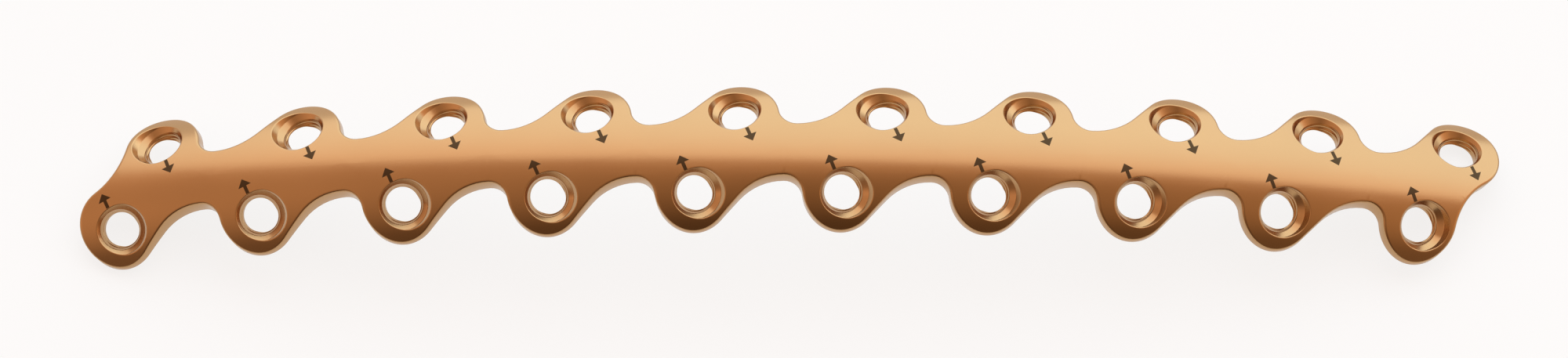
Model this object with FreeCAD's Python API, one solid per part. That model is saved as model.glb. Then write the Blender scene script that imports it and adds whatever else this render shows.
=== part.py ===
import FreeCAD, Part
import math
import os
from BOPTools import SplitAPI
from FreeCAD import Placement, Rotation, Vector

# Bone plate with two staggered rows of lobes, arched along and across. Millimetres and degrees.
# X runs along the plate, Y across it and Z up. The origin is the middle of the base that it rests on.
# Places on the plate are given as "along", the arc length from its middle, and "across", the distance
# from its centre line. Half a turn about the vertical brings the back row onto the front row.

# Section across the plate
CREST_THICKNESS = 2.6
TOP_RADIUS = 13.3
UNDERSIDE_RADIUS = 19.5

# Arch along the plate, at the crest of the top face
ARCH_RADIUS = 262.0

# Rows of holes
HOLES_PER_ROW = 10
HOLE_PITCH = 18.0
ROW_SHIFT = 2.47
HOLE_ACROSS = 5.4

# Outline round the lobes
LOBE_RADIUS = 4.75
LOBE_OFFSET = 0.42
LOBE_CENTRE_ACROSS = 4.55
WAIST_HALF_WIDTH = 3.35
STEEP_VALLEY_RADIUS = 2.25
FLANK_SLOPE = 45.0
END_HOLLOW_RADIUS = 7.7

# Screw hole: the recess for the head, the seat, the threaded cone and the clear bore under it.
# Depths run along the hole's axis, which leans along the plate, from the top face.
HOLE_LEAN = 10.7
RECESS_FLARE = 18.0
SEAT_TOP_RADIUS = 3.13
SEAT_TOP_DEPTH = 0.34
SEAT_BOTTOM_RADIUS = 2.48
SEAT_BOTTOM_DEPTH = 0.96
BORE_RADIUS = 2.05
BORE_TOP_DEPTH = 1.4

# How far cutters reach past the faces that they cut
OVERCUT = 2.0

# Points that the curved faces and walls are drawn through
POINTS_PER_RUN = 7
SECTIONS_ALONG = 9
POINTS_ACROSS = 7
SLICE_TOLERANCE = 1e-5

UP = Vector(0, 0, 1)
ACROSS = Vector(0, 1, 0)


def drop(radius, across):
    """Fall of the section's arc from its crest."""
    return radius - math.sqrt(radius ** 2 - across ** 2)


def place(along, across, height):
    """Point at a height over the crest line, square to the arch."""
    angle = along / ARCH_RADIUS
    reach = ARCH_RADIUS + height
    return Vector(reach * math.sin(angle), across, reach * math.cos(angle) - ARCH_RADIUS)


def half_width():
    return LOBE_CENTRE_ACROSS + LOBE_RADIUS


def hole_along(number):
    """Arc length from the middle to a hole of the back row, counted from the left."""
    return (number - (HOLES_PER_ROW - 1) / 2) * HOLE_PITCH + ROW_SHIFT


def steps(start, end, count):
    """Evenly spaced values from start to end."""
    return [start + (end - start) * step / (count - 1) for step in range(count)]


def curved_face(crest_height, radius):
    """Face curved both ways: arcs across of one radius, set side by side along the arch."""
    side = half_width() + OVERCUT
    reach = hole_along(HOLES_PER_ROW - 1) + LOBE_OFFSET + LOBE_RADIUS + OVERCUT
    sections = []
    for along in steps(-reach, reach, SECTIONS_ALONG):
        rows = steps(-side, side, POINTS_ACROSS)
        sections.append([place(along, across, crest_height - drop(radius, across)) for across in rows])
    surface = Part.BSplineSurface()
    surface.interpolate(sections)
    return surface.toShape()


def curved_blank():
    """Arched bar that the plate is cut from: top, underside and the four sides between their edges."""
    top = curved_face(0, TOP_RADIUS)
    low = curved_face(-CREST_THICKNESS, UNDERSIDE_RADIUS)
    sides = [Part.makeRuledSurface(upper, lower) for upper, lower in zip(top.Edges, low.Edges)]
    shell = Part.makeShell([top, low] + sides)
    shell.sewShape()
    return Part.makeSolid(shell)


def half_turn(point):
    return (-point[0], -point[1])


def direction(start, end):
    return math.atan2(end[1] - start[1], end[0] - start[0])


def on_circle(centre, radius, angle):
    return (centre[0] + radius * math.cos(angle), centre[1] + radius * math.sin(angle))


def arc(centre, radius, start, end, sense):
    """Points from one direction to the other: anticlockwise for a sense of 1, clockwise for -1."""
    turn = sense * (sense * (end - start) % (2 * math.pi))
    return [on_circle(centre, radius, angle) for angle in steps(start, start + turn, POINTS_PER_RUN)]


def straight(start, end):
    alongs = steps(start[0], end[0], POINTS_PER_RUN)
    acrosses = steps(start[1], end[1], POINTS_PER_RUN)
    return list(zip(alongs, acrosses))


def lobe_centre(number):
    return (hole_along(number) + LOBE_OFFSET, LOBE_CENTRE_ACROSS)


def steep_valley_centre(number):
    """Centre of the small arc to the right of a lobe. It touches the lobe and the waist line."""
    lobe = lobe_centre(number)
    rise = WAIST_HALF_WIDTH + STEEP_VALLEY_RADIUS - LOBE_CENTRE_ACROSS
    run = math.sqrt((LOBE_RADIUS + STEEP_VALLEY_RADIUS) ** 2 - rise ** 2)
    return (lobe[0] + run, lobe[1] + rise)


def gentle_valley(number):
    """Centre and radius of the wide arc that goes on from the small one, up to the straight flank.

    It touches the waist line where the small arc does, and the flank of the next lobe.
    """
    slope = math.radians(FLANK_SLOPE)
    lobe = lobe_centre(number + 1)
    fall = (WAIST_HALF_WIDTH - lobe[1]) * math.cos(slope) - LOBE_RADIUS
    corner = lobe[0] + fall / math.sin(slope)
    start = steep_valley_centre(number)[0]
    radius = (corner - start) / math.tan(slope / 2)
    return (start, WAIST_HALF_WIDTH + radius), radius


def end_hollow_centre():
    """Centre of the arc at the left end, which touches the end lobes of both rows."""
    back = lobe_centre(0)
    front = half_turn(lobe_centre(HOLES_PER_ROW - 1))
    half_span = math.dist(back, front) / 2
    reach = math.sqrt((LOBE_RADIUS + END_HOLLOW_RADIUS) ** 2 - half_span ** 2)
    middle = ((back[0] + front[0]) / 2, (back[1] + front[1]) / 2)
    return on_circle(middle, reach, direction(front, back) + math.pi / 2)


def half_outline():
    """Runs of points from the left end hollow, round the back row, to the right end hollow."""
    down = -math.pi / 2
    flank = down + math.radians(FLANK_SLOPE)
    first = lobe_centre(0)
    last = lobe_centre(HOLES_PER_ROW - 1)
    hollow = end_hollow_centre()
    from_front = direction(hollow, half_turn(last))
    runs = [arc(hollow, END_HOLLOW_RADIUS, from_front, direction(hollow, first), 1)]
    arrival = direction(first, hollow)
    for number in range(HOLES_PER_ROW - 1):
        lobe = lobe_centre(number)
        steep = steep_valley_centre(number)
        gentle, radius = gentle_valley(number)
        runs.append(arc(lobe, LOBE_RADIUS, arrival, direction(lobe, steep), -1))
        runs.append(arc(steep, STEEP_VALLEY_RADIUS, direction(steep, lobe), down, 1))
        runs.append(arc(gentle, radius, down, flank, 1))
        arrival = flank + math.pi
        head = on_circle(lobe_centre(number + 1), LOBE_RADIUS, arrival)
        runs.append(straight(on_circle(gentle, radius, flank), head))
    runs.append(arc(last, LOBE_RADIUS, arrival, direction(last, half_turn(hollow)), -1))
    return runs


def outline():
    """Runs of points round the whole plate."""
    back = half_outline()
    return back + [[half_turn(point) for point in run] for run in back]


def wall(run):
    """Side wall along one run of the outline, square to the arch."""
    lowest = -CREST_THICKNESS - drop(UNDERSIDE_RADIUS, half_width()) - OVERCUT
    edges = []
    for height in (OVERCUT, lowest):
        curve = Part.BSplineCurve()
        curve.interpolate([place(along, across, height) for along, across in run])
        edges.append(curve.toShape())
    return Part.makeRuledSurface(edges[0], edges[1])


def screw_hole():
    """Cutter for one hole, standing on its axis, with the top face at zero."""
    rise = half_width()
    floor = -CREST_THICKNESS - rise
    recess_radius = SEAT_TOP_RADIUS + (rise + SEAT_TOP_DEPTH) * math.tan(math.radians(RECESS_FLARE))
    profile = [
        (0, floor),
        (BORE_RADIUS, floor),
        (BORE_RADIUS, -BORE_TOP_DEPTH),
        (SEAT_BOTTOM_RADIUS, -SEAT_BOTTOM_DEPTH),
        (SEAT_TOP_RADIUS, -SEAT_TOP_DEPTH),
        (recess_radius, rise),
        (0, rise),
        (0, floor),
    ]
    corners = [Vector(radius, 0, depth) for radius, depth in profile]
    return Part.Face(Part.makePolygon(corners)).revolve(Vector(0, 0, 0), UP, 360)


def hole_placement(number):
    """Where a hole of the back row stands: square to the section's arc, but leaning along."""
    along = hole_along(number)
    lean = Rotation(ACROSS, -HOLE_LEAN)
    tilt = Rotation(Vector(1, 0, 0), -math.degrees(math.asin(HOLE_ACROSS / TOP_RADIUS)))
    arch = Rotation(ACROSS, math.degrees(along / ARCH_RADIUS))
    spot = place(along, HOLE_ACROSS, -drop(TOP_RADIUS, HOLE_ACROSS))
    return Placement(spot, arch.multiply(tilt).multiply(lean))


def holes():
    """Cutters for both rows."""
    cutters = []
    for number in range(HOLES_PER_ROW):
        back = screw_hole()
        back.Placement = hole_placement(number)
        front = back.copy()
        front.rotate(Vector(0, 0, 0), UP, 180)
        cutters += [back, front]
    return cutters


def bone_plate():
    """The blank cut to its outline and drilled, lowered until it rests on the base."""
    walls = [wall(run) for run in outline()]
    pieces = SplitAPI.slice(curved_blank(), walls, "Split", SLICE_TOLERANCE).Solids
    plate = max(pieces, key=lambda piece: piece.Volume)
    plate = plate.cut(holes()).Solids[0]
    plate.translate(Vector(0, 0, -plate.optimalBoundingBox().ZMin))
    return plate


def main():
    os.makedirs("parts", exist_ok=True)
    bone_plate().exportStep("parts/bone_plate.step")


main()
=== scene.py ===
import math

import bmesh
import bpy
import numpy as np
from bpy.props import FloatProperty, FloatVectorProperty, IntProperty, PointerProperty
from mathutils import Matrix, Vector


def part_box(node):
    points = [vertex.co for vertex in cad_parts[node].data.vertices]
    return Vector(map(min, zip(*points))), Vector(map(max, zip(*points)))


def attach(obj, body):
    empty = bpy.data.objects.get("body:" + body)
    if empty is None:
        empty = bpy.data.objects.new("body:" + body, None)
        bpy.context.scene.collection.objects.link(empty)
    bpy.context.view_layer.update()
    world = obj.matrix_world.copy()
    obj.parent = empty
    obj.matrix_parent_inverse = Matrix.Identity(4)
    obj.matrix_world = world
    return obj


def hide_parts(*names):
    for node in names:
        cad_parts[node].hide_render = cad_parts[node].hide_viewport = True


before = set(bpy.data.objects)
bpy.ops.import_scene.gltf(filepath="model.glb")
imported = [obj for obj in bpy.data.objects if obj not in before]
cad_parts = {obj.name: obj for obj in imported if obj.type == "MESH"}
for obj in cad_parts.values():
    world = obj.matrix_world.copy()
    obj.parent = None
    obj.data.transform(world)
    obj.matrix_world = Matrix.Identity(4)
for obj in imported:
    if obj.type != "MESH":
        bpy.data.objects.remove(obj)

bl_info = {
    "name": "Bone plate",
    "version": (1, 0, 0),
    "blender": (4, 5, 0),
    "location": "3D View > Sidebar > Bone plate",
    "description": "Builds an arched bone plate with two staggered rows of screw holes",
    "category": "Add Mesh",
}

NODE = "bone_plate"
MM = 0.001

# Points along the outline beside one hole, and along its lobe's seams
LOBE_POINTS = 38
STEEP_POINTS = 8
GENTLE_POINTS = 8
FLANK_POINTS = 5
HOLLOW_POINTS_PER_RADIAN = 14
WAIST_POINTS = 4
CENTRE_STEP = 0.95 * MM

# Least distance on the centre line from the plate's end to the next place, and from a valley's place
END_GAP = 0.4 * CENTRE_STEP
CORNER_GAP = 0.001 * CENTRE_STEP

# Rings of points on the top face, on the underside, round an edge and along the thread
TOP_RINGS = 9
LOW_RINGS = 4
ROUND_RINGS = 5
THREAD_RINGS = 17

# Rings close to an edge or a crease, which keep its smooth shading narrow. The inner one is a share
# of the way from a seam to the hole.
EDGE_SUPPORT = 0.1 * MM
CREASE_SUPPORT = 0.025 * MM
INNER_SUPPORT = 0.04
LEAST_RING_STEP = 0.01 * MM

# Turn of the hole's points under the valleys
VALLEY_TURN = math.radians(45)

# The hole's wall near a rim: where its direction is taken, in rim roundings, and how deep it is
# looked for, in thicknesses of the plate
CHORD_SHARE = 0.8
DEPTH_LIMIT = 1.5
HALVINGS = 40
SMALL_STEP = 0.01 * MM

# The thread grows and fades over one part in this many
THREAD_FADE = 5

# Grid of an arrow, and the small step behind its head and at its tip
MARK_POINTS = 7
MARK_STEP = 0.01 * MM

# Joining and shading
MERGE_DISTANCE = 0.002 * MM
SHARP_ANGLE = math.radians(32)

# How far the plate stays inside the solid's wall and top, so that it doesn't pass its box
INSET = 0.001 * MM

# Unevenness of the metal's colour and polish, and its fine grain
CLOUD_SCALE = 90.0
CLOUD_DETAIL = 3.0
COLOUR_SPREAD = 0.05
POLISH_SPREAD = 0.06
GRAIN_SCALE = 9000.0
GRAIN_DETAIL = 2.0
GRAIN_STRENGTH = 0.04
GRAIN_DEPTH = 0.02 * MM

# Colours of the room from straight behind, over the top, to the front: place in the ramp, then how
# far the bright colour has gone over to the warm one, and that to the dim one
ROOM_STOPS = (
    (0.22, 0.0, 0.0), (0.32, 0.2, 0.0), (0.40, 0.6, 0.0),
    (0.465, 1.0, 0.0), (0.535, 1.0, 0.75), (0.59, 1.0, 1.0),
)

SENSOR_WIDTH = 36.0
CLIP_START = 0.05
CLIP_END = 20.0


def length(name, description, millimetres):
    return FloatProperty(
        name=name, description=description, default=millimetres * MM, min=0.0, precision=5, unit="LENGTH")


def offset(name, description, millimetres):
    return FloatProperty(
        name=name, description=description, default=millimetres * MM, precision=5, unit="LENGTH")


def metres(name, description, value):
    return FloatProperty(name=name, description=description, default=value, unit="LENGTH")


def angle(name, description, degrees):
    return FloatProperty(
        name=name, description=description, default=math.radians(degrees), unit="ROTATION")


def fraction(name, description, value):
    return FloatProperty(
        name=name, description=description, default=value, min=0.0, max=1.0, subtype="FACTOR")


def strength(name, description, value):
    return FloatProperty(name=name, description=description, default=value, min=0.0)


def colour(name, description, value):
    return FloatVectorProperty(
        name=name, description=description, default=value, size=3, min=0.0, max=1.0, subtype="COLOR")


def spot(name, description, value):
    return FloatVectorProperty(
        name=name, description=description, default=value, size=3, subtype="TRANSLATION")


class PlateSizes(bpy.types.PropertyGroup):
    """Sizes and colours of the plate"""
    crest_thickness: length("Crest thickness", "Thickness on the centre line", 2.6)
    top_radius: length("Top radius", "Radius of the top face across the plate", 13.3)
    underside_radius: length("Underside radius", "Radius of the underside across the plate", 19.5)
    arch_radius: length("Arch radius", "Radius of the arch along the plate, at the crest", 262.0)
    holes_per_row: IntProperty(
        name="Holes per row", description="Holes in each of the two rows", default=10, min=3)
    hole_pitch: length("Hole pitch", "Arc length from one hole to the next in a row", 18.0)
    row_shift: offset("Row shift", "Shift of the back row along the plate", 2.47)
    hole_across: length("Hole across", "Distance of a hole from the centre line", 5.4)
    lobe_radius: length("Lobe radius", "Radius of a lobe's outline", 4.75)
    lobe_offset: offset("Lobe offset", "Distance of a lobe's centre from its hole, along the plate", 0.42)
    lobe_centre_across: length("Lobe centre across", "Distance of a lobe's centre from the centre line", 4.55)
    waist_half_width: length("Waist half width", "Distance of the valleys from the centre line", 3.35)
    steep_valley_radius: length("Steep valley radius", "Radius of the small arc beside a lobe", 2.25)
    flank_slope: angle("Flank slope", "Slope of the straight flank of a lobe", 45.0)
    end_hollow_radius: length("End hollow radius", "Radius of the hollow at each end", 7.7)
    hole_lean: angle("Hole lean", "Lean of a hole's axis along the plate", 10.7)
    recess_flare: angle("Recess flare", "Half angle of the recess for the screw's head", 18.0)
    seat_top_radius: length("Seat top radius", "Radius where the recess meets the seat", 3.13)
    seat_top_depth: length("Seat top depth", "Depth of that ring along the hole's axis", 0.34)
    seat_bottom_radius: length("Seat bottom radius", "Radius where the seat meets the thread", 2.48)
    seat_bottom_depth: length("Seat bottom depth", "Depth of that ring along the hole's axis", 0.96)
    bore_radius: length("Bore radius", "Radius of the clear bore", 2.05)
    thread_end_depth: length("Thread end depth", "Depth where the thread runs out into the bore", 1.9)
    edge_rounding: length("Edge rounding", "Radius of the plate's upper edge", 0.35)
    low_edge_rounding: length("Lower edge rounding", "Radius of the plate's lower edge", 0.25)
    rim_rounding: length("Rim rounding", "Radius of a hole's upper and lower edge", 0.15)
    thread_pitch: length("Thread pitch", "Rise of the thread in one turn", 0.42)
    thread_depth: length("Thread depth", "Depth of the thread's groove", 0.06)
    metal_colour: colour("Metal colour", "Colour of the anodised metal", (0.48, 0.28, 0.128))
    metal_roughness: fraction("Metal roughness", "Roughness of the satin finish", 0.22)


class MarkSizes(bpy.types.PropertyGroup):
    """Sizes and colour of the arrow beside each hole"""
    start_along: length("Start along", "Start of the arrow from its hole, along the plate", 1.21)
    start_across: length("Start across", "Start of the arrow from its hole, towards the centre line", 2.69)
    heading: angle("Heading", "Direction of the arrow in the plan", -67.4)
    mark_length: length("Length", "Length from the start to the tip", 1.95)
    head_length: length("Head length", "Length of the arrow's head", 0.95)
    head_width: length("Head width", "Width of the arrow's head", 1.7)
    stem_width: length("Stem width", "Width of the arrow's stem", 0.44)
    mark_height: length("Height", "How far the mark stands on the metal", 0.008)
    mark_sink: length("Sink", "How far the mark reaches into the metal", 0.03)
    mark_colour: colour("Mark colour", "Colour of the mark", (0.072, 0.044, 0.022))
    mark_roughness: fraction("Mark roughness", "Roughness of the mark", 0.35)


class StageSizes(bpy.types.PropertyGroup):
    """Sizes and colours of the floor, the lights and the camera"""
    floor_size: metres("Floor size", "Side of the floor", 6.0)
    floor_gap: length("Floor gap", "Gap between the floor and the plate", 0.02)
    floor_colour: colour("Floor colour", "Colour of the floor", (0.92, 0.945, 0.96))
    floor_roughness: fraction("Floor roughness", "Roughness of the floor", 0.9)
    floor_glow: fraction("Floor glow", "Share of plain white in the floor as it is seen", 0.8)
    bright_colour: colour("Bright room colour", "Colour of the room behind the plate", (0.82, 0.92, 1.0))
    warm_colour: colour("Warm room colour", "Colour where the bright part ends", (0.74, 0.47, 0.33))
    dim_colour: colour("Dim room colour", "Colour of the room before the plate", (0.44, 0.27, 0.165))
    room_strength: strength("Room strength", "Brightness of the room", 1.3)
    front_fade: fraction("Front fade", "Share of light left in front, near the floor", 0.2)
    fade_end: angle("Fade end", "Lean to the front, from straight up, where the fade ends", 60.16)
    side_gain: strength("Side gain", "Gain in light towards the sides, where the room fades", 4.0)
    side_lift: strength("Side lift", "Gain in light at the far right", 0.5)
    lift_start: fraction("Lift start", "How far to the right that gain begins", 0.6)
    left_share: fraction("Left share", "Share of the gain towards the sides that the left has", 0.6)
    slant: strength("Slant", "How far the bright part draws back at its left", 0.88)
    box_colour: colour("Light box colour", "Colour of the large light behind the plate", (0.78, 0.9, 1.0))
    box_strength: strength("Light box strength", "Brightness of the large light", 0.85)
    box_width: metres("Light box width", "Width of the large light", 1.9)
    box_aside: metres("Light box aside", "How far the large light stands to the right", 0.36)
    box_top: spot("Light box top", "Upper end of the line that the large light follows", (0, 0.05, 0.8))
    box_foot: spot("Light box foot", "Lower end of that line", (0, 1.2, 0.03))
    box_reach: strength("Light box reach", "Length of the large light in lengths of that line", 1.08)
    camera_tilt: angle("Camera tilt", "Tilt of the camera from straight down", 20.48)
    camera_turn: angle("Camera turn", "Turn of the camera about the plate's vertical", -0.15)
    camera_distance: metres("Camera distance", "Distance of the camera from the plate", 1.5434)
    camera_lens: FloatProperty(
        name="Camera lens", description="Focal length", default=293.09, unit="CAMERA")
    aim_right: offset("Aim right", "Aim point from the crest, to the camera's right", -0.801)
    aim_up: offset("Aim up", "Aim point from the crest, upwards in the picture", -3.836)


# Shape of the plate. Plan places are pairs: arc length along the plate, and distance across it.
# Points lie about the arch's centre, with a lobe's own hole at zero along, so every lobe of a row
# is one mesh turned about the arch's axis.

def drop(radius, across):
    """Fall of an arc from its crest."""
    return radius - np.sqrt(radius ** 2 - np.square(across))


def top_height(sizes, across):
    return -drop(sizes.top_radius, across)


def low_height(sizes, across):
    return -sizes.crest_thickness - drop(sizes.underside_radius, across)


def place(sizes, plan, height):
    """Points over plan places, at heights over the crest line."""
    turn = plan[..., 0] / sizes.arch_radius
    reach = sizes.arch_radius + height
    return np.stack([reach * np.sin(turn), plan[..., 1], reach * np.cos(turn)], -1)


def plan_of(sizes, points):
    along = sizes.arch_radius * np.arctan2(points[..., 0], points[..., 2])
    return np.stack([along, points[..., 1]], -1)


def height_of(sizes, points):
    return np.hypot(points[..., 0], points[..., 2]) - sizes.arch_radius


def unit(vectors):
    return vectors / np.linalg.norm(vectors, axis=-1, keepdims=True)


def rounding(corner, way_in, way_out, radius, rings):
    """Rings of points round a corner line, from the first way to the second."""
    half = 0.5 * np.arccos(np.clip(np.sum(way_in * way_out, -1), -1, 1))[..., None]
    centre = corner + unit(way_in + way_out) * radius / np.sin(half)
    first = corner + way_in * radius / np.tan(half) - centre
    last = corner + way_out * radius / np.tan(half) - centre
    turn = math.pi - 2 * half
    return [
        centre + (first * np.sin((1 - part) * turn) + last * np.sin(part * turn)) / np.sin(turn)
        for part in np.linspace(0, 1, rings + 1)
    ]


def hole_along(sizes, number):
    """Arc length from the middle to a hole of the back row, counted from the left."""
    return (number - (sizes.holes_per_row - 1) / 2) * sizes.hole_pitch + sizes.row_shift


def lobe_centre(sizes):
    return np.array([sizes.lobe_offset, sizes.lobe_centre_across])


def steep_centre(sizes):
    """Centre of the small valley arc to the right of a lobe."""
    rise = sizes.waist_half_width + sizes.steep_valley_radius - sizes.lobe_centre_across
    run = math.sqrt((sizes.lobe_radius + sizes.steep_valley_radius) ** 2 - rise ** 2)
    return lobe_centre(sizes) + (run, rise)


def gentle_valley(sizes):
    """Centre and radius of the wide valley arc to the left of a lobe."""
    start = steep_centre(sizes)[0] - sizes.hole_pitch
    lobe = lobe_centre(sizes)
    fall = (sizes.waist_half_width - lobe[1]) * math.cos(sizes.flank_slope) - sizes.lobe_radius
    corner = lobe[0] + fall / math.sin(sizes.flank_slope)
    radius = (corner - start) / math.tan(sizes.flank_slope / 2)
    return np.array([start, sizes.waist_half_width + radius]), radius


def hollow_centre(sizes):
    """Centre of the hollow at the left end, in plan places of the whole plate."""
    back = np.array([hole_along(sizes, 0), 0]) + lobe_centre(sizes)
    front = -np.array([hole_along(sizes, sizes.holes_per_row - 1), 0]) - lobe_centre(sizes)
    half_span = np.linalg.norm(back - front) / 2
    reach = math.sqrt((sizes.lobe_radius + sizes.end_hollow_radius) ** 2 - half_span ** 2)
    run, rise = (back - front) / (2 * half_span)
    return (back + front) / 2 + reach * np.array([-rise, run])


def end_corner(sizes):
    """Place on the centre line between the two lobes at an end, seen from the hole of either one."""
    return np.array([-sizes.row_shift, 0])


def heading(start, end):
    return math.atan2(end[1] - start[1], end[0] - start[0])


def arc_run(centre, radius, start, turn, count, inward):
    """Points of an arc but the last, and their plan directions into the plate."""
    angles = start + turn * np.arange(count) / count
    out = np.stack([np.cos(angles), np.sin(angles)], -1)
    return centre + radius * out, inward * out


def flank_run(start, end, inward):
    parts = (np.arange(FLANK_POINTS) / FLANK_POINTS)[:, None]
    return start + (end - start) * parts, np.repeat(inward[None], FLANK_POINTS, 0)


def outline_of(sizes, number):
    """Outline beside one hole of the back row, clockwise, with plan directions into the plate."""
    last = sizes.holes_per_row - 1
    lobe = lobe_centre(sizes)
    steep = steep_centre(sizes)
    down = -math.pi / 2
    runs = []
    if number == 0:
        hollow = hollow_centre(sizes) - (hole_along(sizes, 0), 0)
        start = heading(hollow, end_corner(sizes))
        turn = heading(hollow, lobe) - start
        count = round(turn * HOLLOW_POINTS_PER_RADIAN)
        runs.append(arc_run(hollow, sizes.end_hollow_radius, start, turn, count, 1))
        arrival = heading(lobe, hollow) % (2 * math.pi)
    else:
        gentle, radius = gentle_valley(sizes)
        runs.append(arc_run(gentle, radius, down, sizes.flank_slope, GENTLE_POINTS, 1))
        way = np.array([math.cos(down + sizes.flank_slope), math.sin(down + sizes.flank_slope)])
        runs.append(flank_run(gentle + radius * way, lobe - sizes.lobe_radius * way, way))
        arrival = sizes.flank_slope - down
    if number == last:
        hollow = -hollow_centre(sizes) - (hole_along(sizes, last), 0)
        turn = heading(lobe, hollow) - arrival
        runs.append(arc_run(lobe, sizes.lobe_radius, arrival, turn, LOBE_POINTS, -1))
        start = heading(hollow, lobe) % (2 * math.pi)
        end = heading(hollow, end_corner(sizes)) % (2 * math.pi)
        count = round((end - start) * HOLLOW_POINTS_PER_RADIAN)
        runs.append(arc_run(hollow, sizes.end_hollow_radius, start, end - start, count, 1))
        final = (hollow, sizes.end_hollow_radius, end)
    else:
        turn = heading(lobe, steep) - arrival
        runs.append(arc_run(lobe, sizes.lobe_radius, arrival, turn, LOBE_POINTS, -1))
        start = heading(steep, lobe) % (2 * math.pi)
        turn = down + 2 * math.pi - start
        runs.append(arc_run(steep, sizes.steep_valley_radius, start, turn, STEEP_POINTS, 1))
        final = (steep, sizes.steep_valley_radius, down)
    runs.append(arc_run(*final, 0, 1, 1))
    return np.concatenate([run[0] for run in runs]), np.concatenate([run[1] for run in runs])


def centre_places(sizes, start, end):
    """Places on the centre line between two ends, shared by the lobes of both rows."""
    valley = hole_along(sizes, 0) + steep_centre(sizes)[0]
    spread = np.arange(-1, sizes.holes_per_row + 2) * sizes.hole_pitch
    marks = np.sort(np.concatenate([valley + spread, -valley - spread]))
    places = []
    for low, high in zip(marks, marks[1:]):
        count = max(1, round((high - low) / CENTRE_STEP))
        places += list(low + (high - low) * np.arange(count) / count)
    return np.array([along for along in places if start < along < end])


def inner_border(sizes, number, edge):
    """Plan places from the right end of an outline round to its left end, inside the plate."""
    own = hole_along(sizes, number)
    valley = steep_centre(sizes)[0]
    parts = np.linspace(0, 1, WAIST_POINTS + 1)[1:, None]
    if number == sizes.holes_per_row - 1:
        right_corner, right_end = end_corner(sizes), -sizes.row_shift - END_GAP
    else:
        right_corner, right_end = np.array([valley, 0]), valley - CORNER_GAP
    if number == 0:
        left_corner, left_end = end_corner(sizes), -sizes.row_shift + END_GAP
    else:
        left_corner = np.array([valley - sizes.hole_pitch, 0])
        left_end = valley - sizes.hole_pitch + CORNER_GAP
    middle = centre_places(sizes, own + left_end, own + right_end)[::-1] - own
    middle = np.stack([middle, np.zeros(len(middle))], -1)
    right = edge[-1] + (right_corner - edge[-1]) * parts
    left = edge[0] + (left_corner - edge[0]) * parts
    return np.concatenate([right, middle, left[::-1]])


def hole_angles(sizes, number, outline, count):
    """Directions round the hole, one for each border point: the outline's clockwise, then the rest."""
    reach = outline - (0, sizes.hole_across)
    facing = np.unwrap(np.arctan2(reach[:, 1], reach[:, 0]) % (2 * math.pi))
    if number > 0:
        first = math.pi + VALLEY_TURN
        facing[:GENTLE_POINTS] = np.linspace(first, facing[GENTLE_POINTS], GENTLE_POINTS, endpoint=False)
    if number < sizes.holes_per_row - 1:
        before = facing[-STEEP_POINTS - 1]
        facing[-STEEP_POINTS:] = np.linspace(before, -VALLEY_TURN, STEEP_POINTS + 1)[1:]
    rest = np.linspace(facing[-1], facing[0] - 2 * math.pi, count - len(facing) + 2)[1:-1]
    return np.concatenate([facing, rest])


def hole_frame(sizes):
    """Centre, two side directions and outward axis of a hole."""
    centre = place(sizes, np.array([0.0, sizes.hole_across]), top_height(sizes, sizes.hole_across))
    tilt = Matrix.Rotation(-math.asin(sizes.hole_across / sizes.top_radius), 3, "X")
    turn = np.array(tilt @ Matrix.Rotation(-sizes.hole_lean, 3, "Y"))
    return centre, turn[:, 0], turn[:, 1], turn[:, 2]


def profile_radius(sizes, level):
    """Radius of the hole at a level along its axis, with the top face at zero."""
    levels = [-sizes.thread_end_depth, -sizes.seat_bottom_depth, -sizes.seat_top_depth]
    radii = [sizes.bore_radius, sizes.seat_bottom_radius, sizes.seat_top_radius]
    over_seat = np.maximum(level + sizes.seat_top_depth, 0)
    return np.interp(level, levels, radii) + over_seat * math.tan(sizes.recess_flare)


def crossing(sizes, hole_points, face_height, low, high):
    """Level at which the hole's wall meets a face, found by halving."""
    low, high = np.copy(low), np.copy(high)
    for _ in range(HALVINGS):
        middle = (low + high) / 2
        points = hole_points(middle)
        above = height_of(sizes, points) > face_height(sizes, points[:, 1])
        low, high = np.where(above, low, middle), np.where(above, middle, high)
    return (low + high) / 2


def face_way(sizes, points, ring, face_height):
    """Directions along a face, away from the hole."""
    plan = plan_of(sizes, points)
    moved = plan_of(sizes, points + ring * SMALL_STEP)
    start = place(sizes, plan, face_height(sizes, plan[:, 1]))
    return unit(place(sizes, moved, face_height(sizes, moved[:, 1])) - start)


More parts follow.
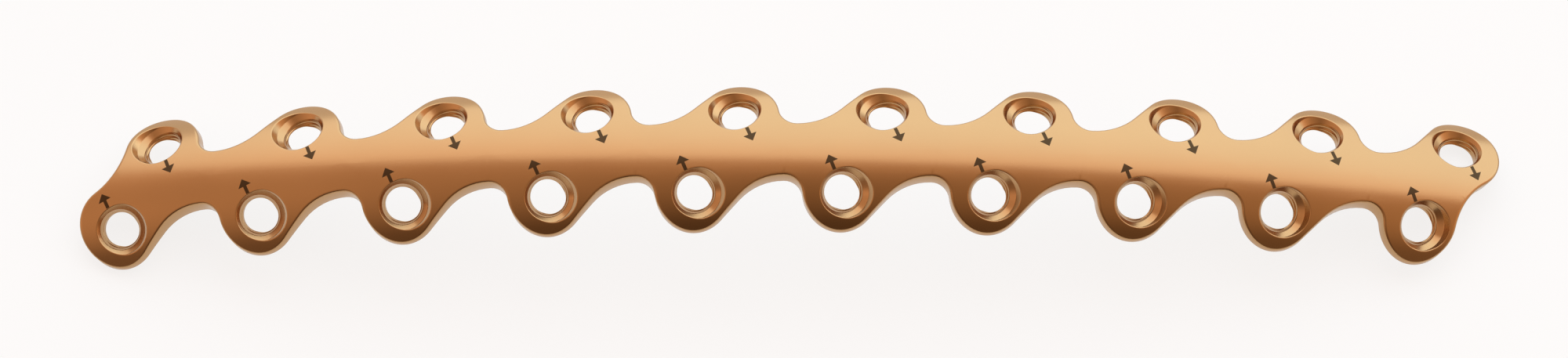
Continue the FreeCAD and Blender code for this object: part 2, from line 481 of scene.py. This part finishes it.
def hole_rings(sizes, angles):
    """Rings of points from the top face, down through the hole, to the underside."""
    centre, side, back, axis = hole_frame(sizes)
    ring = np.cos(angles)[:, None] * side + np.sin(angles)[:, None] * back

    def wall(level, extra=0.0):
        radius = profile_radius(sizes, level) + extra
        return centre + level[:, None] * axis + radius[:, None] * ring

    count = len(angles)
    chord = CHORD_SHARE * sizes.rim_rounding
    high = np.full(count, sizes.crest_thickness)
    seat = np.full(count, -sizes.seat_bottom_depth)
    rim_level = crossing(sizes, wall, top_height, seat, high)
    low_level = crossing(sizes, wall, low_height, -DEPTH_LIMIT * high, seat)
    rim = wall(rim_level)
    down = unit(wall(rim_level - chord) - rim)
    rings = rounding(rim, face_way(sizes, rim, ring, top_height), down, sizes.rim_rounding, ROUND_RINGS)
    first_plan = plan_of(sizes, rings[0])
    rings[0] = place(sizes, first_plan, top_height(sizes, first_plan[:, 1]))
    lowest = (rings[-1] - centre) @ axis
    seat_top, seat_bottom = -sizes.seat_top_depth, -sizes.seat_bottom_depth
    for level in (
        seat_top + CREASE_SUPPORT, seat_top - CREASE_SUPPORT, seat_top - 3 * CREASE_SUPPORT,
        seat_bottom + 3 * CREASE_SUPPORT, seat_bottom + CREASE_SUPPORT, seat_bottom - CREASE_SUPPORT,
    ):
        lowest = np.minimum(level, lowest - LEAST_RING_STEP)
        rings.append(wall(lowest))
    low_corner = wall(low_level)
    up = unit(wall(low_level + chord) - low_corner)
    away = face_way(sizes, low_corner, ring, low_height)
    low_rings = rounding(low_corner, up, away, sizes.rim_rounding, ROUND_RINGS)
    end_level = (low_rings[0] - centre) @ axis
    for part in (np.arange(THREAD_RINGS) + 1) / THREAD_RINGS:
        level = lowest + (end_level - lowest) * part
        wave = 0.5 - 0.5 * np.cos(2 * math.pi * (level / sizes.thread_pitch) - angles)
        fade = min(1.0, THREAD_FADE * part, THREAD_FADE * (1 - part))
        rings.append(wall(level, sizes.thread_depth * fade * wave))
    rings += low_rings[1:]
    last_plan = plan_of(sizes, rings[-1])
    rings[-1] = place(sizes, last_plan, low_height(sizes, last_plan[:, 1]))
    return rings


def face_rings(sizes, border, inward, inner, face_height, count):
    """Rings of points on a face between its border and the ring round a hole."""
    target = plan_of(sizes, inner)
    start = border + (target - border) * INNER_SUPPORT
    start[1:len(inward) - 1] = border[1:len(inward) - 1]
    start[:len(inward)] += inward * EDGE_SUPPORT
    plans = [border]
    for part in [0.0, *np.linspace(0, 1 - INNER_SUPPORT, count)[1:]]:
        plans.append(start + (target - start) * part)
    return [place(sizes, plan, face_height(sizes, plan[:, 1])) for plan in plans]


def edge_rings(sizes, outline, inward):
    """Rings of points over the plate's side wall, from the top face to the underside."""
    moved = outline + inward * SMALL_STEP
    corners = []
    ways = []
    for face_height in (top_height, low_height):
        corner = place(sizes, outline, face_height(sizes, outline[:, 1]))
        corners.append(corner)
        ways.append(unit(place(sizes, moved, face_height(sizes, moved[:, 1])) - corner))
    up = unit(corners[0] - corners[1])
    rings = rounding(corners[0], ways[0], -up, sizes.edge_rounding, ROUND_RINGS)
    rings += rounding(corners[1], up, ways[1], sizes.low_edge_rounding, ROUND_RINGS)
    for index, face_height in ((0, top_height), (-1, low_height)):
        plan = plan_of(sizes, rings[index])
        rings[index] = place(sizes, plan, face_height(sizes, plan[:, 1]))
    return rings


def quads(rings, closed):
    """Faces between rings of points that follow one another, as corner points."""
    rings = np.stack(rings)
    if closed:
        rings = np.concatenate([rings, rings[:, :1]], 1)
    corners = [rings[:-1, :-1], rings[:-1, 1:], rings[1:, 1:], rings[1:, :-1]]
    return np.stack(corners, 2).reshape(-1, 4, 3)


def mesh_of(name, faces):
    """Mesh from separate four-cornered faces, joined where their corners meet."""
    mesh = bpy.data.meshes.new(name)
    numbers = np.arange(len(faces) * 4).reshape(-1, 4)
    mesh.from_pydata(faces.reshape(-1, 3).tolist(), [], numbers.tolist())
    work = bmesh.new()
    work.from_mesh(mesh)
    bmesh.ops.remove_doubles(work, verts=work.verts, dist=MERGE_DISTANCE)
    work.to_mesh(mesh)
    work.free()
    return mesh


def lobe_mesh(sizes, number):
    """Mesh of one lobe of the back row with its hole, about the arch's centre."""
    outline, inward = outline_of(sizes, number)
    edge = edge_rings(sizes, outline + inward * INSET, inward)
    top_edge, low_edge = plan_of(sizes, edge[0]), plan_of(sizes, edge[-1])
    top_border = np.concatenate([top_edge, inner_border(sizes, number, top_edge)])
    low_border = np.concatenate([low_edge, inner_border(sizes, number, low_edge)])
    hole = hole_rings(sizes, hole_angles(sizes, number, top_edge, len(top_border)))
    top = face_rings(sizes, top_border, inward, hole[0], top_height, TOP_RINGS)
    low = face_rings(sizes, low_border, inward, hole[-1], low_height, LOW_RINGS)[::-1]
    faces = np.concatenate([quads(top + hole + low, True), quads(edge, False)])
    return mesh_of(f"lobe_{number}", faces)


class Tree:
    """A node tree with short ways to add nodes and links."""

    def __init__(self, tree):
        self.tree = tree

    def node(self, kind, settings=None, values=None):
        """Adds a node, sets its settings first and then its sockets from values or links."""
        node = self.tree.nodes.new(kind)
        for name, value in (settings or {}).items():
            setattr(node, name, value)
        for key, value in (values or {}).items():
            for one in value if isinstance(value, list) else [value]:
                self.put(node.inputs[key], one)
        return node

    def put(self, socket, value):
        if isinstance(value, Number):
            value = value.socket
        if isinstance(value, bpy.types.NodeSocket):
            self.tree.links.new(value, socket)
        else:
            socket.default_value = value

    def number(self, socket):
        return Number(self, socket)

    def ramp(self, factor, stops):
        """Colour socket of a ramp with the given places and colours."""
        node = self.node("ShaderNodeValToRGB", None, {0: factor})
        elements = node.color_ramp.elements
        for number, (position, tint) in enumerate(stops):
            element = elements[0] if number == 0 else elements.new(position)
            element.position = position
            element.color = (*tint, 1.0)
        elements.remove(elements[-1])
        return node.outputs[0]


class Number:
    """A socket that holds a number, so that sums in a node tree read as Python."""

    def __init__(self, tree, socket):
        self.tree = tree
        self.socket = socket

    def math(self, operation, first, second):
        node = self.tree.node("ShaderNodeMath", {"operation": operation}, {0: first, 1: second})
        return Number(self.tree, node.outputs[0])

    def __add__(self, other):
        return self.math("ADD", self, other)

    def __radd__(self, other):
        return self.math("ADD", other, self)

    def __sub__(self, other):
        return self.math("SUBTRACT", self, other)

    def __rsub__(self, other):
        return self.math("SUBTRACT", other, self)

    def __mul__(self, other):
        return self.math("MULTIPLY", self, other)

    def __rmul__(self, other):
        return self.math("MULTIPLY", other, self)


def row_tree():
    """Geometry nodes that set one mesh beside each hole of both rows."""
    group = bpy.data.node_groups.new("Rows of lobes", "GeometryNodeTree")
    sockets = {}
    for name, kind in (
        ("First", "NodeSocketObject"), ("Middle", "NodeSocketObject"), ("Last", "NodeSocketObject"),
        ("Holes per row", "NodeSocketInt"),
        ("Pitch angle", "NodeSocketFloat"), ("Shift angle", "NodeSocketFloat"),
        ("Lift", "NodeSocketFloat"), ("Merge distance", "NodeSocketFloat"),
        ("Material", "NodeSocketMaterial"),
    ):
        sockets[name] = group.interface.new_socket(name, in_out="INPUT", socket_type=kind).identifier
    group.interface.new_socket("Geometry", in_out="OUTPUT", socket_type="NodeSocketGeometry")
    tree = Tree(group)
    given = tree.node("NodeGroupInput").outputs
    count = tree.number(given["Holes per row"])
    index = tree.number(tree.node("GeometryNodeInputIndex").outputs[0])
    pitch, shift = tree.number(given["Pitch angle"]), tree.number(given["Shift angle"])
    turn = (index - 0.5 * (count - 1)) * pitch + shift
    angles = tree.node("ShaderNodeCombineXYZ", None, {"Y": turn}).outputs[0]
    rotation = tree.node("FunctionNodeEulerToRotation", None, {0: angles}).outputs[0]
    points = tree.node("GeometryNodePoints", None, {"Count": count}).outputs[0]
    is_first = tree.node(
        "FunctionNodeCompare", {"data_type": "FLOAT", "operation": "LESS_THAN"},
        {0: index, 1: 0.5}).outputs[0]
    is_last = tree.node(
        "FunctionNodeCompare", {"data_type": "FLOAT", "operation": "GREATER_THAN"},
        {0: index, 1: count - 1.5}).outputs[0]
    at_end = tree.node("FunctionNodeBooleanMath", {"operation": "OR"}, {0: is_first, 1: is_last}).outputs[0]
    between = tree.node("FunctionNodeBooleanMath", {"operation": "NOT"}, {0: at_end}).outputs[0]
    made = []
    for name, chosen in (("First", is_first), ("Middle", between), ("Last", is_last)):
        piece = tree.node("GeometryNodeObjectInfo", None, {"Object": given[name]}).outputs["Geometry"]
        made.append(tree.node("GeometryNodeInstanceOnPoints", None, {
            "Points": points, "Selection": chosen, "Instance": piece, "Rotation": rotation}).outputs[0])
    row = tree.node("GeometryNodeJoinGeometry", None, {0: made}).outputs[0]
    front = tree.node(
        "GeometryNodeTransform", None, {"Geometry": row, "Rotation": (0, 0, math.pi)}).outputs[0]
    both = tree.node("GeometryNodeJoinGeometry", None, {0: [row, front]}).outputs[0]
    lift = tree.node("ShaderNodeCombineXYZ", None, {"Z": given["Lift"]}).outputs[0]
    lifted = tree.node("GeometryNodeTransform", None, {"Geometry": both, "Translation": lift}).outputs[0]
    real = tree.node("GeometryNodeRealizeInstances", None, {0: lifted}).outputs[0]
    merged = tree.node("GeometryNodeMergeByDistance", None, {
        "Geometry": real, "Distance": given["Merge distance"]}).outputs[0]
    coloured = tree.node("GeometryNodeSetMaterial", None, {
        "Geometry": merged, "Material": given["Material"]}).outputs[0]
    tree.node("NodeGroupOutput", None, {0: coloured})
    return group, sockets


def rows_object(context, name, meshes, material):
    """One plain mesh with a copy of the given meshes beside each hole of both rows."""
    sizes = context.scene.plate_sizes
    group, sockets = row_tree()
    parts = [bpy.data.objects.new(mesh.name, mesh) for mesh in meshes]
    carrier = bpy.data.objects.new(name, bpy.data.meshes.new(name))
    context.scene.collection.objects.link(carrier)
    modifier = carrier.modifiers.new("Rows", "NODES")
    modifier.node_group = group
    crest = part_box(NODE)[1].z
    values = {
        "First": parts[0], "Middle": parts[1], "Last": parts[2], "Holes per row": sizes.holes_per_row,
        "Pitch angle": sizes.hole_pitch / sizes.arch_radius,
        "Shift angle": sizes.row_shift / sizes.arch_radius,
        "Lift": crest - sizes.arch_radius - INSET, "Merge distance": MERGE_DISTANCE, "Material": material,
    }
    for key, value in values.items():
        modifier[sockets[key]] = value
    carrier.update_tag()
    context.view_layer.update()
    depsgraph = context.evaluated_depsgraph_get()
    mesh = bpy.data.meshes.new_from_object(
        carrier.evaluated_get(depsgraph), preserve_all_data_layers=True, depsgraph=depsgraph)
    if not mesh.polygons:
        raise RuntimeError(f"{name} came out empty")
    carrier.modifiers.remove(modifier)
    carrier.data = mesh
    for part in parts:
        bpy.data.objects.remove(part)
    finish_mesh(mesh)
    return carrier


def finish_mesh(mesh):
    """Turns faces outwards and shades the mesh smooth up to its corners."""
    work = bmesh.new()
    work.from_mesh(mesh)
    bmesh.ops.recalc_face_normals(work, faces=work.faces)
    work.to_mesh(mesh)
    work.free()
    mesh.shade_smooth()
    mesh.set_sharp_from_angle(angle=SHARP_ANGLE)


def mark_faces(sizes, mark):
    """Faces of one arrow on the top face, about the arch's centre."""
    start = np.array([mark.start_along, sizes.hole_across - mark.start_across])
    ahead = np.array([math.cos(mark.heading), math.sin(mark.heading)])
    aside = np.array([-ahead[1], ahead[0]])
    stem = mark.mark_length - mark.head_length
    rows = []
    for begin, end, first, last in (
        (0.0, stem, mark.stem_width / 2, mark.stem_width / 2),
        (stem + MARK_STEP, mark.mark_length, mark.head_width / 2, MARK_STEP),
    ):
        for part in np.linspace(0, 1, MARK_POINTS):
            half = first + (last - first) * part
            spread = np.linspace(-half, half, MARK_POINTS)[:, None]
            rows.append(start + ahead * (begin + (end - begin) * part) + aside * spread)
    plan = np.stack(rows)
    crest = top_height(sizes, plan[..., 1])
    top = place(sizes, plan, crest + mark.mark_height)
    low = place(sizes, plan, crest - mark.mark_sink)
    faces = [quads(list(top), False), quads(list(low), False)]
    for rim in ((0,), (-1,), (slice(None), 0), (slice(None), -1)):
        faces.append(quads([top[rim], low[rim]], False))
    return np.concatenate(faces)


def mixed(first, second, share):
    return [a + (b - a) * share for a, b in zip(first, second)]


def shader(name):
    """A new material and its tree, with only the shader and the output."""
    material = bpy.data.materials.new(name)
    material.use_nodes = True
    material.node_tree.nodes.clear()
    return material, Tree(material.node_tree)


def metal(sizes):
    """Satin anodised metal, with a faint unevenness in colour and polish."""
    material, tree = shader("anodised_metal")
    places = tree.node("ShaderNodeTexCoord").outputs["Object"]
    cloud = tree.number(tree.node("ShaderNodeTexNoise", None, {
        "Vector": places, "Scale": CLOUD_SCALE, "Detail": CLOUD_DETAIL}).outputs[0])
    grain = tree.node("ShaderNodeTexNoise", None, {
        "Vector": places, "Scale": GRAIN_SCALE, "Detail": GRAIN_DETAIL}).outputs[0]
    dark = (*((1 - COLOUR_SPREAD) * part for part in sizes.metal_colour), 1.0)
    light = (*(min(1.0, (1 + COLOUR_SPREAD) * part) for part in sizes.metal_colour), 1.0)
    base = tree.node("ShaderNodeMix", {"data_type": "RGBA"}, {0: cloud, 6: dark, 7: light}).outputs[2]
    rough = sizes.metal_roughness + POLISH_SPREAD * (cloud - 0.5)
    bump = tree.node("ShaderNodeBump", None, {
        "Strength": GRAIN_STRENGTH, "Distance": GRAIN_DEPTH, "Height": grain}).outputs[0]
    face = tree.node("ShaderNodeBsdfPrincipled", None, {
        "Base Color": base, "Metallic": 1.0, "Roughness": rough, "Normal": bump}).outputs[0]
    tree.node("ShaderNodeOutputMaterial", None, {"Surface": face})
    return material


def plain(name, value, roughness, metallic):
    material, tree = shader(name)
    face = tree.node("ShaderNodeBsdfPrincipled", None, {
        "Base Color": (*value, 1.0), "Roughness": roughness, "Metallic": metallic}).outputs[0]
    tree.node("ShaderNodeOutputMaterial", None, {"Surface": face})
    return material


class BONEPLATE_OT_plate(bpy.types.Operator):
    """Build the plate with rounded edges and threaded holes"""
    bl_idname = "bone_plate.plate"
    bl_label = "Plate"

    def execute(self, context):
        sizes = context.scene.plate_sizes
        meshes = [lobe_mesh(sizes, number) for number in (0, 1, sizes.holes_per_row - 1)]
        plate = rows_object(context, "plate", meshes, metal(sizes))
        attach(plate, "root")
        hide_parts(NODE)
        return {"FINISHED"}


class BONEPLATE_OT_marks(bpy.types.Operator):
    """Set a dark arrow beside each hole"""
    bl_idname = "bone_plate.marks"
    bl_label = "Arrows"

    def execute(self, context):
        sizes = context.scene.plate_sizes
        mark = context.scene.mark_sizes
        mesh = mesh_of("arrow", mark_faces(sizes, mark))
        metal_mark = plain("laser_mark", mark.mark_colour, mark.mark_roughness, 1.0)
        marks = rows_object(context, "arrows", [mesh] * 3, metal_mark)
        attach(marks, "root")
        return {"FINISHED"}


class BONEPLATE_OT_stage(bpy.types.Operator):
    """Set up the floor, the lights and the camera"""
    bl_idname = "bone_plate.stage"
    bl_label = "Stage"

    def execute(self, context):
        stage = context.scene.stage_sizes
        make_floor(context, stage)
        make_room(context, stage)
        make_light_box(context, stage)
        make_camera(context, stage)
        context.scene.view_settings.view_transform = "Standard"
        return {"FINISHED"}


def floor_material(stage):
    """Plain pale floor that also looks pale where the lamps leave it dim, and keeps its shadows."""
    material, tree = shader("floor")
    path = tree.node("ShaderNodeLightPath").outputs
    camera, glossy, through = [
        tree.number(path[name]) for name in ("Is Camera Ray", "Is Glossy Ray", "Is Transmission Ray")]
    seen = camera + glossy + through
    lit = tree.node("ShaderNodeBsdfPrincipled", None, {
        "Base Color": (*stage.floor_colour, 1.0), "Roughness": stage.floor_roughness}).outputs[0]
    white = tree.node("ShaderNodeEmission", None, {"Strength": 1.0}).outputs[0]
    face = tree.node("ShaderNodeMixShader", None, {0: seen * stage.floor_glow, 1: lit, 2: white}).outputs[0]
    tree.node("ShaderNodeOutputMaterial", None, {"Surface": face})
    return material


def make_floor(context, stage):
    half = stage.floor_size / 2
    sides = ((-half, -half), (half, -half), (half, half), (-half, half))
    mesh = bpy.data.meshes.new("floor")
    mesh.from_pydata([(x, y, -stage.floor_gap) for x, y in sides], [], [(0, 1, 2, 3)])
    mesh.materials.append(floor_material(stage))
    floor = bpy.data.objects.new("floor", mesh)
    context.scene.collection.objects.link(floor)


def make_room(context, stage):
    """Room that is bright behind the plate and dim before it, fading towards the floor."""
    world = bpy.data.worlds.new("room")
    context.scene.world = world
    world.use_nodes = True
    world.node_tree.nodes.clear()
    tree = Tree(world.node_tree)
    way = tree.node("ShaderNodeTexCoord").outputs["Generated"]
    parts = tree.node("ShaderNodeSeparateXYZ", None, {0: way}).outputs
    along, across, high = [tree.number(part) for part in parts]
    lean = (0 - across).math("ARCTAN2", 0 - across, high)
    left = along.math("MINIMUM", along, 0.0)
    turn = (lean - stage.slant * left) * (1 / math.pi) + 0.5
    stops = []
    for position, warm, dim in ROOM_STOPS:
        tint = mixed(stage.bright_colour, stage.warm_colour, warm)
        stops.append((position, mixed(tint, stage.dim_colour, dim)))
    ramp = tree.ramp(turn, stops)
    fade = tree.number(tree.node("ShaderNodeMapRange", None, {
        0: lean, 1: 0.0, 2: stage.fade_end, 3: 1.0, 4: stage.front_fade}).outputs[0])
    aside = along.math("MAXIMUM", along, -stage.left_share * left)
    lift = tree.number(tree.node("ShaderNodeMapRange", None, {
        0: aside, 1: stage.lift_start, 2: 1.0, 3: 1.0, 4: 1.0 + stage.side_lift}).outputs[0])
    level = stage.room_strength * fade * (1 + stage.side_gain * aside * (1 - fade)) * lift
    coloured = tree.node("ShaderNodeMix", {"data_type": "RGBA"}, {
        0: 0 - left, 6: ramp, 7: (*stage.warm_colour, 1.0)}).outputs[2]
    room = tree.node("ShaderNodeBackground", None, {"Color": coloured, "Strength": level}).outputs[0]
    tree.node("ShaderNodeOutputWorld", None, {"Surface": room})


def make_light_box(context, stage):
    """Large soft light that stands behind the plate and leans over it."""
    top, foot = Vector(stage.box_top), Vector(stage.box_foot)
    light = bpy.data.lights.new("light_box", "AREA")
    light.shape = "ELLIPSE"
    light.size = stage.box_width
    light.size_y = stage.box_reach * (foot - top).length
    light.color = stage.box_colour
    area = math.pi / 4 * light.size * light.size_y
    light.energy = stage.box_strength * math.pi * area
    box = bpy.data.objects.new("light_box", light)
    down = (foot - top).normalized()
    right = Vector((1, 0, 0))
    turn = Matrix((right, down, right.cross(down))).transposed().to_4x4()
    middle = top + down * light.size_y / 2 + right * stage.box_aside
    box.matrix_world = Matrix.Translation(middle) @ turn
    context.scene.collection.objects.link(box)


def make_camera(context, stage):
    """Camera at the angle and the distance of the photograph."""
    tilt, turn = stage.camera_tilt, stage.camera_turn
    back = Vector((math.sin(turn), -math.sin(tilt) * math.cos(turn), math.cos(tilt) * math.cos(turn)))
    right = Vector((0, math.cos(tilt), math.sin(tilt))).cross(back).normalized()
    up = back.cross(right)
    crest = Vector((0, 0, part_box(NODE)[1].z))
    aim = crest + right * stage.aim_right + up * stage.aim_up
    data = bpy.data.cameras.new("camera")
    data.sensor_width = SENSOR_WIDTH
    data.lens = stage.camera_lens
    data.clip_start, data.clip_end = CLIP_START, CLIP_END
    camera = bpy.data.objects.new("camera", data)
    facing = Matrix((right, up, back)).transposed().to_4x4()
    camera.matrix_world = Matrix.Translation(aim + back * stage.camera_distance) @ facing
    context.scene.collection.objects.link(camera)
    context.scene.camera = camera


class BONEPLATE_PT_panel(bpy.types.Panel):
    """Lists the sizes and the steps that build the plate"""
    bl_idname = "BONEPLATE_PT_panel"
    bl_label = "Bone plate"
    bl_space_type = "VIEW_3D"
    bl_region_type = "UI"
    bl_category = "Bone plate"

    def draw(self, context):
        for operator in OPERATORS:
            self.layout.operator(operator.bl_idname)
        for name in GROUPS:
            group = getattr(context.scene, name)
            box = self.layout.box()
            for key in group.__annotations__:
                box.prop(group, key)


GROUPS = {"plate_sizes": PlateSizes, "mark_sizes": MarkSizes, "stage_sizes": StageSizes}
OPERATORS = (BONEPLATE_OT_plate, BONEPLATE_OT_marks, BONEPLATE_OT_stage)


def register():
    for one in (*GROUPS.values(), *OPERATORS, BONEPLATE_PT_panel):
        bpy.utils.register_class(one)
    for name, group in GROUPS.items():
        setattr(bpy.types.Scene, name, PointerProperty(type=group))


def unregister():
    for name in GROUPS:
        delattr(bpy.types.Scene, name)
    for one in (BONEPLATE_PT_panel, *reversed(OPERATORS), *reversed(tuple(GROUPS.values()))):
        bpy.utils.unregister_class(one)


def main():
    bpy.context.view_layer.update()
    register()
    bpy.ops.bone_plate.plate()
    bpy.ops.bone_plate.marks()
    bpy.ops.bone_plate.stage()


if __name__ == "__main__":
    main()
